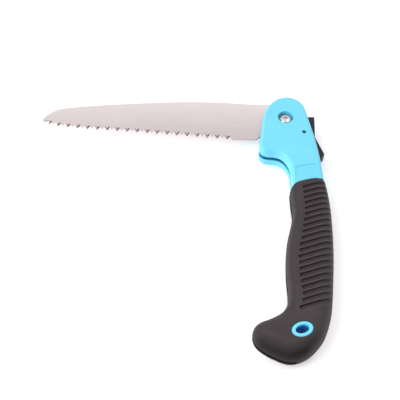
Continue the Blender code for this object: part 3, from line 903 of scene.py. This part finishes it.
def make_eyelet():
    """Oval bush with rounded lips."""
    low, high = 0.1, GRIP_TOP - 0.1
    lip = 0.9
    rings = []
    steps = 6
    for k in range(steps + 1):
        angle = math.pi / 2 * k / steps
        rings.append((-lip * (1 - math.sin(angle)), low + lip * (1 - math.cos(angle))))
    outer = rings + [(grow, high + low - z) for grow, z in reversed(rings)]
    inner = [(-grow * 0.45, z) for grow, z in reversed(outer)]
    stack = [(oval(EYELET, [half + grow for half in EYELET_OUTER], EYELET_TILT), z)
             for grow, z in outer]
    stack += [(oval(EYELET, [half + grow for half in EYELET_INNER], EYELET_TILT), z)
              for grow, z in inner]
    ring = loft("eyelet_ring", stack, hollow=True)
    soften(ring, 0.0)
    return ring


def make_blade():
    """Blade with ground teeth: each second tooth is bevelled from above, the others from below."""
    low, high = MID_Z - BLADE_THICK / 2, MID_Z + BLADE_THICK / 2
    tips = even_points(smooth_path(TOOTH_LINE, 4), TEETH + 1)
    roots = []
    for start, end in zip(tips, tips[1:]):
        along = (end - start).normalized()
        roots.append(start.lerp(end, 0.5) + Vector((-along.y, along.x)) * TOOTH_DEPTH)
    rest = [Vector(point) for point in HEEL]
    for radius, first, last, steps in TANG_RIM:
        rest += arc(radius, first, last, steps)
    mesh = bmesh.new()

    def vert(spot, z):
        return mesh.verts.new(world(spot.x, spot.y, z))

    spine = smooth_path(SPINE, 6)
    top, bottom = [], []

    def plain(spots):
        """Square edge, for the spine, heel and tang."""
        for spot in spots:
            top.append(vert(spot, high))
            bottom.append(vert(spot, low))
            if len(top) > 1:
                mesh.faces.new((bottom[-2], bottom[-1], top[-1], top[-2]))

    plain(spine + [tips[0]])
    for k, (root, nxt) in enumerate(zip(roots, roots[1:])):
        tip = tips[k + 1]
        if k == 0:
            plain([root])
        facing, hidden = (top, bottom) if k % 2 == 0 else (bottom, top)
        z_near, z_far = (high, low) if k % 2 == 0 else (low, high)
        middle = root.lerp(nxt, 0.5)
        share = TOOTH_BEVEL / (nxt - root).length
        a = vert(root.lerp(nxt, share), z_near)
        b = vert(root.lerp(nxt, 1 - share), z_near)
        crest = vert(tip.lerp(middle, TOOTH_CREST), z_near)
        point = vert(tip, z_far)
        root_near, root_far = facing[-1], hidden[-1]
        next_near, next_far = vert(nxt, z_near), vert(nxt, z_far)
        mesh.faces.new((root_near, a, root_far))
        mesh.faces.new((root_far, a, crest, point))
        mesh.faces.new((point, crest, b, next_far))
        mesh.faces.new((b, next_near, next_far))
        facing.extend([a, crest, b, next_near])
        hidden.extend([point, next_far])
    plain([tips[-1]] + rest)
    mesh.faces.new((bottom[-1], bottom[0], top[0], top[-1]))
    mesh.faces.new(top)
    mesh.faces.new(bottom)
    blade = mesh_object("saw_blade", mesh)
    bore = round_hole("cut_blade_bore", (0, 0), BLADE_BORE / 2, 0, 24)
    cut(blade, [bore])
    drop([bore])
    blade.data.shade_smooth()
    blade.data.set_sharp_from_angle(angle=math.radians(25))
    return blade


# ---------------------------------------------------------------- small parts

def cross_cutter(name, place, top, bottom, size):
    """Cutter for a cross recess whose arms narrow with depth."""
    arm = size * 0.2
    depth_share = 0.45
    corners = [(size, -arm), (size, arm), (arm, arm), (arm, size), (-arm, size), (-arm, arm),
               (-size, arm), (-size, -arm), (-arm, -arm), (-arm, -size), (arm, -size), (arm, -arm)]
    wide = [Vector((place[0] + x, place[1] + y)) for x, y in corners]
    tight = [Vector((place[0] + depth_share * x, place[1] + depth_share * y)) for x, y in corners]
    return loft(name, [(tight, bottom), (wide, top)])


def make_pivot_screw():
    """Pan-head screw with a domed top and a cross recess."""
    head = 4.6
    dome = [(head * math.cos(a), 18.9 + 1.6 * math.sin(a)) for a in np.linspace(0, 1.5, 10)]
    profile = [(SHANK_RADIUS, 3.4), (SHANK_RADIUS, 17.6), (head - 0.15, 17.6), (head, 17.8)] + dome
    screw = turned("pivot_screw_head", (0, 0), profile, segments=64)
    cross = cross_cutter("cut_cross", (0, 0), 21.0, 18.6, 2.6)
    cut(screw, [cross])
    drop([cross])
    soften(screw, 0.1)
    return screw


def make_nut():
    """Hexagon nut with broken corners."""
    profile = [(4.2, 3.0), (4.6, 3.4), (4.6, 5.8), (4.4, 6.0)]
    nut = loft("pivot_nut_hex", [(circle((0, 0), radius, 6), z) for radius, z in profile])
    bore = round_hole("cut_bore", (0, 0), SHANK_RADIUS + FIT_GAP, 0, 10)
    cut(nut, [bore])
    drop([bore])
    soften(nut, 0.1)
    return nut


def make_handle_screw(k, place):
    """Pan-head screw with a cross recess, driven from the underside."""
    seat = SCREW_SEAT - FIT_GAP
    head = 2.8
    shank = 1.45
    dome = [(head * math.cos(a), seat - 1.2 - 0.8 * math.sin(a)) for a in np.linspace(1.4, 0, 8)]
    profile = dome + [(head, seat), (shank, seat), (shank, 17.2), (0.5, 18.2)]
    screw = turned(f"handle_screw_head_{k}", place, profile, segments=40)
    cross = cross_cutter("cut_cross", place, seat - 2.3, seat - 0.7, 1.7)
    cut(screw, [cross])
    drop([cross])
    soften(screw, 0.08)
    return screw


def make_lever():
    """Lock lever with crisp, slightly broken edges."""
    lever = block("lever_body", smooth_loop(LEVER_OUTLINE, 5), MID_Z - LEVER_HALF,
                  MID_Z + LEVER_HALF)
    hole = round_hole("cut_hole", LEVER_PIN, PIN_RADIUS + FIT_GAP, 0, 24, 32)
    cut(lever, [hole])
    drop([hole])
    soften(lever, 0.35, 3)
    return lever


def make_spring():
    """Leaf spring behind the lever."""
    path = smooth_path(SPRING_PATH)
    outer, inner = [], []
    for i, spot in enumerate(path):
        along = (path[min(i + 1, len(path) - 1)] - path[max(i - 1, 0)]).normalized()
        across = Vector((-along.y, along.x)) * SPRING_HALF_THICK
        outer.append(spot - across)
        inner.append(spot + across)
    leaf = block("lever_leaf", outer + inner[::-1], MID_Z - SPRING_HALF_WIDTH,
                 MID_Z + SPRING_HALF_WIDTH)
    soften(leaf, 0.0)
    return leaf


# ---------------------------------------------------------------- stage

def make_floor():
    """Pale floor with a faint glow of its own."""
    size = 3.0
    mesh = bmesh.new()
    mesh.faces.new([mesh.verts.new((x * size, y * size, 0)) for x, y in
                    ((-1, -1), (1, -1), (1, 1), (-1, 1))])
    floor = mesh_object("floor", mesh, outward=False)
    shader = Shader("floor_paint", 0.9, specular=0.1)
    shader.colour(shader.blend(shader.noise(3, 2), (0.90, 0.885, 0.89), (0.92, 0.905, 0.91)))
    shader.surface.inputs["Emission Color"].default_value = (1.0, 0.985, 0.985, 1)
    shader.surface.inputs["Emission Strength"].default_value = 0.3
    floor.data.materials.append(shader.material)


def make_sky():
    """Pale surroundings that fade to one side."""
    sky = bpy.data.worlds.new("studio")
    bpy.context.scene.world = sky
    sky.use_nodes = True
    nodes, links = sky.node_tree.nodes, sky.node_tree.links
    backdrop = nodes["Background"]
    backdrop.inputs["Color"].default_value = (1.0, 0.985, 0.985, 1)
    away = nodes.new("ShaderNodeVectorMath")
    away.operation = 'DOT_PRODUCT'
    away.inputs[1].default_value = (-0.55, 0.83, 0.0)
    links.new(nodes.new("ShaderNodeTexCoord").outputs["Generated"], away.inputs[0])
    fade = nodes.new("ShaderNodeMapRange")
    fade.interpolation_type = 'SMOOTHSTEP'
    fade.inputs["From Min"].default_value = -0.7
    fade.inputs["From Max"].default_value = 0.2
    fade.inputs["To Min"].default_value = 0.15
    fade.inputs["To Max"].default_value = 1.0
    links.new(away.outputs["Value"], fade.inputs["Value"])
    links.new(fade.outputs["Result"], backdrop.inputs["Strength"])


def make_light(name, place, size, power, tint=(1, 1, 1)):
    """Round soft light aimed at the saw."""
    data = bpy.data.lights.new(name, 'AREA')
    data.shape = 'DISK'
    data.size = size
    data.energy = power
    data.color = tint
    lamp = bpy.data.objects.new(name, data)
    bpy.context.scene.collection.objects.link(lamp)
    lamp.location = place
    aim = Vector((0, 0, 0)) - Vector(place)
    lamp.rotation_euler = aim.to_track_quat('-Z', 'Y').to_euler()


def make_camera():
    """Camera in front of the saw, looking down at it."""
    elevation = math.radians(54.5)
    distance = 0.53
    target = Vector((PIVOT.x - 67.8 * MM, PIVOT.y - 65.5 * MM, 0))
    data = bpy.data.cameras.new("camera")
    data.sensor_width = 36
    data.lens = 62.6
    data.clip_start = 0.01
    camera = bpy.data.objects.new("camera", data)
    bpy.context.scene.collection.objects.link(camera)
    camera.location = target + distance * Vector((0, -math.cos(elevation), math.sin(elevation)))
    camera.rotation_euler = (math.pi / 2 - elevation, 0, 0)
    bpy.context.scene.camera = camera


# ---------------------------------------------------------------- the saw

# The last colour in each call is painted shade: in the slot near the head, and in the ring's bore.
turquoise = turquoise_material("turquoise_plastic_painted_shade", 1.9, 1.45, (0.003, 0.20, 0.40), True)
ring_turquoise = turquoise_material("turquoise_ring_painted_shade", 10.6, 8.8, (0.003, 0.23, 0.62), False)
rubber = rubber_material()
steel = blade_material()
chrome = chrome_material()
dark_steel = dark_steel_material()
black = black_plastic_material()
brass = brass_material()

cutters = make_cutters()
core_screws = screw_cutters()
dress(make_core(1, cutters, core_screws), turquoise, "handle", ["front_core_half"])
dress(make_core(-1, cutters, core_screws), turquoise, "handle", ["rear_core_half"])
dress(make_grip(1, cutters, []), rubber, "handle", ["front_grip"])
dress(make_grip(-1, cutters, core_screws), rubber, "handle", ["rear_grip"])
drop(list(cutters.values()) + core_screws)
dress(make_eyelet(), ring_turquoise, "handle", ["lanyard_eyelet"])
dress(make_blade(), steel, "blade", ["blade"])
dress(make_pivot_screw(), chrome, "handle", ["pivot_screw"])
dress(make_nut(), dark_steel, "handle", ["pivot_nut"])
for number, spot in enumerate(HANDLE_SCREWS, 1):
    dress(make_handle_screw(number, spot), dark_steel, "handle", [f"handle_screw_{number}"])
dress(make_lever(), black, "lock_lever", ["lock_lever"])

# The leaf runs from its foot in the handle to the back of the lever; it stays where it is made and
# does not bend.
leaf = make_spring()
leaf.data.materials.append(chrome)
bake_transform(leaf)
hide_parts("lever_spring")

# Plain solids that are shown as they are.
CARRIED = {
    "screw_washer": chrome, "nut_washer": dark_steel, "pivot_sleeve": dark_steel,
    "lever_pin": dark_steel, "core_dowel_1": dark_steel, "core_dowel_2": dark_steel,
    "front_blade_washer": brass, "rear_blade_washer": brass,
}
for node, material in CARRIED.items():
    item = frame["nodes"][node]
    item.data.materials.clear()
    item.data.materials.append(material)

make_floor()
make_sky()
make_light("key", (-0.75, -0.35, 1.1), 0.8, 5.5)
make_light("side", (-1.0, -0.33, 0.5), 0.5, 3.5)
make_light("fill", (0.7, 0.2, 1.2), 0.9, 3.2, (1, 0.98, 0.97))
make_light("front", (0.0, -1.0, 0.7), 0.5, 2.5)
make_camera()
bpy.context.scene.view_settings.view_transform = 'Standard'
